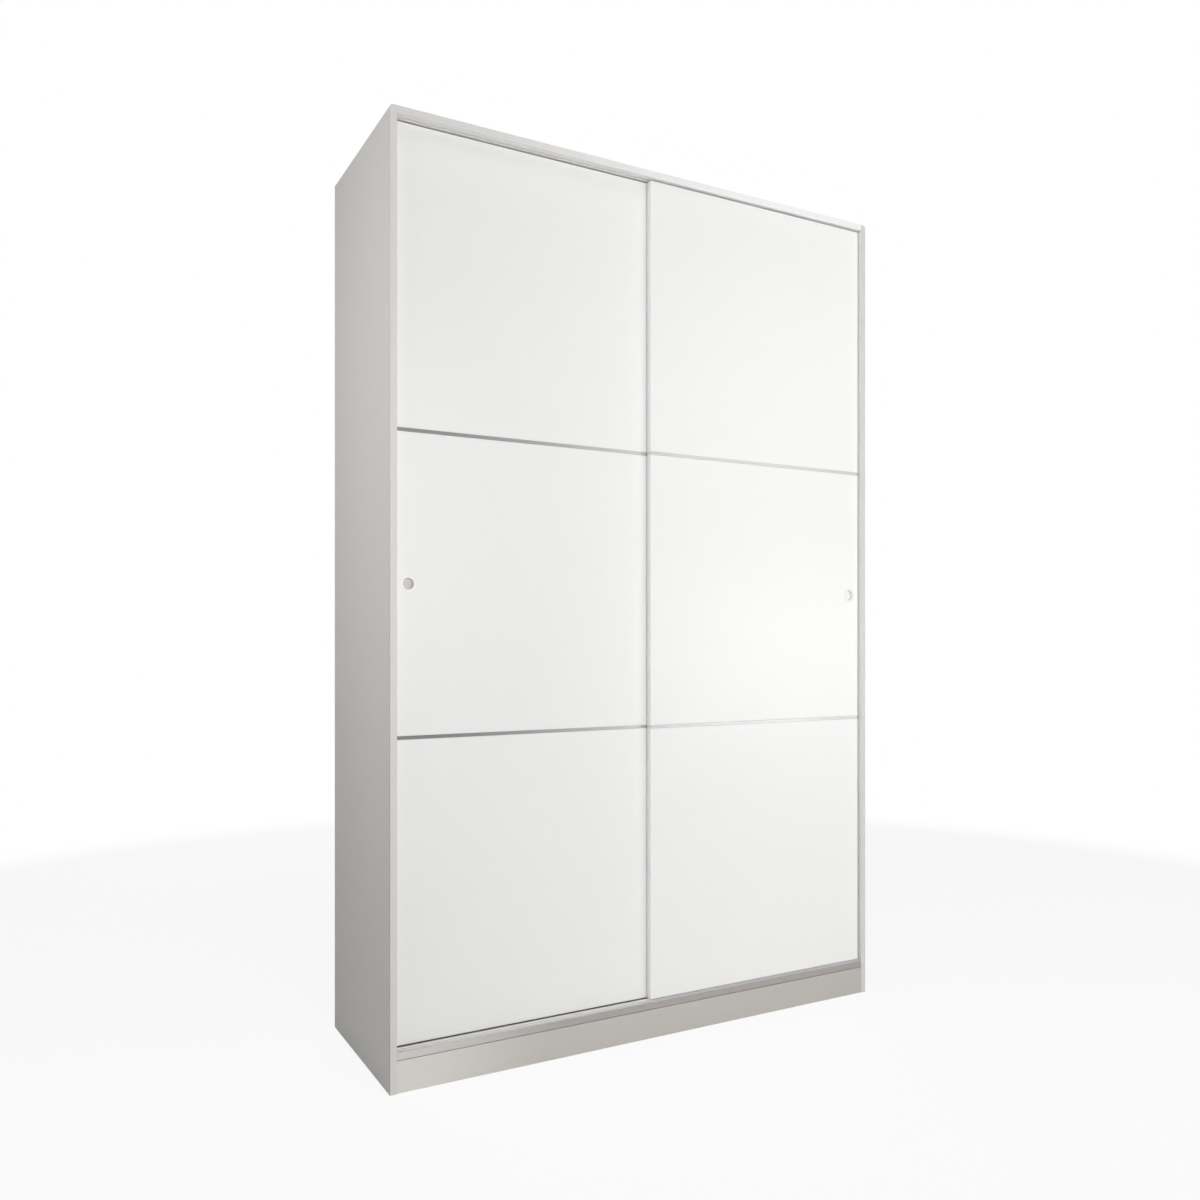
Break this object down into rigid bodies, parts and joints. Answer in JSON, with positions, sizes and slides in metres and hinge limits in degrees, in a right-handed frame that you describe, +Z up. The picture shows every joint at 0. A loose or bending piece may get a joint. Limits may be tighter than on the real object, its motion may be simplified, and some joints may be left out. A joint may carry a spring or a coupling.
{
  "type": "sliding door wardrobe",
  "caption": "White free-standing wardrobe with overlapping sliding doors, each divided by slim metal strips, with round recessed pulls and a setback plinth.",
  "frame": {"origin": "middle of the footprint, on the floor", "axes": "+X to the right along the width, +Y from the front to the back, +Z up; the doors face -Y"},
  "size_m": [1.34, 0.45, 2.1],
  "materials": {
    "carcass_board": "matt off-white melamine",
    "plinth_board": "matt light grey melamine",
    "door_board": "semi-gloss white melamine",
    "edge_band": "satin white",
    "door_edge_band": "satin white",
    "back_sheet": "painted hardboard",
    "aluminium_strip": "satin anodised",
    "track_plastic": "matt",
    "pull_plastic": "satin gloss",
    "housing_plastic": "matt",
    "wheel_nylon": "satin",
    "pin_nylon": "satin",
    "polished_steel": "bright",
    "zinc_steel": "zinc plated",
    "zinc_cast": "die cast",
    "chromed_tube": "polished",
    "chromed_zinc": "polished",
    "beech": "raw",
    "clear_rubber": "translucent"
  },
  "bodies": {
    "carcass": {"side_panel_left": "carcass_board", "side_panel_right": "carcass_board", "top_panel": "carcass_board", "bottom_panel": "carcass_board", "centre_divider": "carcass_board", "plinth_front": "plinth_board", "plinth_rear": "plinth_board", "plinth_brace": "plinth_board", "back_sheet_left": "back_sheet", "back_sheet_right": "back_sheet", "hat_shelf": "carcass_board", "shelf_1": "carcass_board", "shelf_2": "carcass_board", "shelf_3": "carcass_board", "shelf_4": "carcass_board", "hanging_rail": "chromed_tube", "rail_sockets": "chromed_zinc", "top_tracks": "track_plastic", "bottom_rail": "track_plastic", "wall_brackets": "zinc_steel", "fitting_screws": "zinc_steel", "cam_locks": "zinc_cast", "cam_bolts": "zinc_steel", "wood_dowels": "beech", "shelf_supports": "zinc_steel", "back_nails": "zinc_steel", "door_bumpers": "clear_rubber", "edge_bands": "edge_band"},
    "left_door": {"left_door_upper_board": "door_board", "left_door_middle_board": "door_board", "left_door_lower_board": "door_board", "left_door_joint_strips": "aluminium_strip", "left_door_edge_bands": "door_edge_band", "left_door_pull": "pull_plastic", "left_door_screws": "zinc_steel", "left_door_roller_housings": "housing_plastic", "left_door_roller_axles": "polished_steel", "left_door_guide_housings": "housing_plastic", "left_door_guide_spring_left": "polished_steel", "left_door_guide_spring_right": "polished_steel"},
    "right_door": {"right_door_upper_board": "door_board", "right_door_middle_board": "door_board", "right_door_lower_board": "door_board", "right_door_joint_strips": "aluminium_strip", "right_door_edge_bands": "door_edge_band", "right_door_pull": "pull_plastic", "right_door_screws": "zinc_steel", "right_door_roller_housings": "housing_plastic", "right_door_roller_axles": "polished_steel", "right_door_guide_housings": "housing_plastic", "right_door_guide_spring_left": "polished_steel", "right_door_guide_spring_right": "polished_steel"},
    "left_door_wheel_left": {"left_door_wheel_left": "wheel_nylon"},
    "left_door_wheel_right": {"left_door_wheel_right": "wheel_nylon"},
    "right_door_wheel_left": {"right_door_wheel_left": "wheel_nylon"},
    "right_door_wheel_right": {"right_door_wheel_right": "wheel_nylon"},
    "left_door_guide_pin_left": {"left_door_guide_pin_left": "pin_nylon"},
    "left_door_guide_pin_right": {"left_door_guide_pin_right": "pin_nylon"},
    "right_door_guide_pin_left": {"right_door_guide_pin_left": "pin_nylon"},
    "right_door_guide_pin_right": {"right_door_guide_pin_right": "pin_nylon"}
  },
  "joints": [
    {"name": "left_door_slide", "type": "slide", "parent": "carcass", "child": "left_door", "axis": [1, 0, 0], "range_m": [0, 0.636]},
    {"name": "right_door_slide", "type": "slide", "parent": "carcass", "child": "right_door", "axis": [1, 0, 0], "range_m": [-0.636, 0]},
    {"name": "left_door_wheel_left_spin", "type": "hinge", "parent": "left_door", "child": "left_door_wheel_left", "pos_m": [-0.602, -0.186, 0.1003], "axis": [0, 1, 0], "range_deg": [0, 3650]},
    {"name": "left_door_wheel_right_spin", "type": "hinge", "parent": "left_door", "child": "left_door_wheel_right", "pos_m": [-0.034, -0.186, 0.1003], "axis": [0, 1, 0], "range_deg": [0, 3650]},
    {"name": "right_door_wheel_left_spin", "type": "hinge", "parent": "right_door", "child": "right_door_wheel_left", "pos_m": [0.034, -0.205, 0.1003], "axis": [0, 1, 0], "range_deg": [-3650, 0]},
    {"name": "right_door_wheel_right_spin", "type": "hinge", "parent": "right_door", "child": "right_door_wheel_right", "pos_m": [0.602, -0.205, 0.1003], "axis": [0, 1, 0], "range_deg": [-3650, 0]},
    {"name": "left_door_guide_pin_left_retract", "type": "slide", "parent": "left_door", "child": "left_door_guide_pin_left", "axis": [0, 0, 1], "range_m": [-0.008, 0], "stiffness_N_per_m": 400, "deforming": ["left_door_guide_spring_left"]},
    {"name": "left_door_guide_pin_right_retract", "type": "slide", "parent": "left_door", "child": "left_door_guide_pin_right", "axis": [0, 0, 1], "range_m": [-0.008, 0], "stiffness_N_per_m": 400, "deforming": ["left_door_guide_spring_right"]},
    {"name": "right_door_guide_pin_left_retract", "type": "slide", "parent": "right_door", "child": "right_door_guide_pin_left", "axis": [0, 0, 1], "range_m": [-0.008, 0], "stiffness_N_per_m": 400, "deforming": ["right_door_guide_spring_left"]},
    {"name": "right_door_guide_pin_right_retract", "type": "slide", "parent": "right_door", "child": "right_door_guide_pin_right", "axis": [0, 0, 1], "range_m": [-0.008, 0], "stiffness_N_per_m": 400, "deforming": ["right_door_guide_spring_right"]}
  ],
  "couplings": [
    {"joint": "left_door_wheel_left_spin", "follows": "left_door_slide", "rad_per_m": 100},
    {"joint": "left_door_wheel_right_spin", "follows": "left_door_slide", "rad_per_m": 100},
    {"joint": "right_door_wheel_left_spin", "follows": "right_door_slide", "rad_per_m": 100},
    {"joint": "right_door_wheel_right_spin", "follows": "right_door_slide", "rad_per_m": 100}
  ]
}
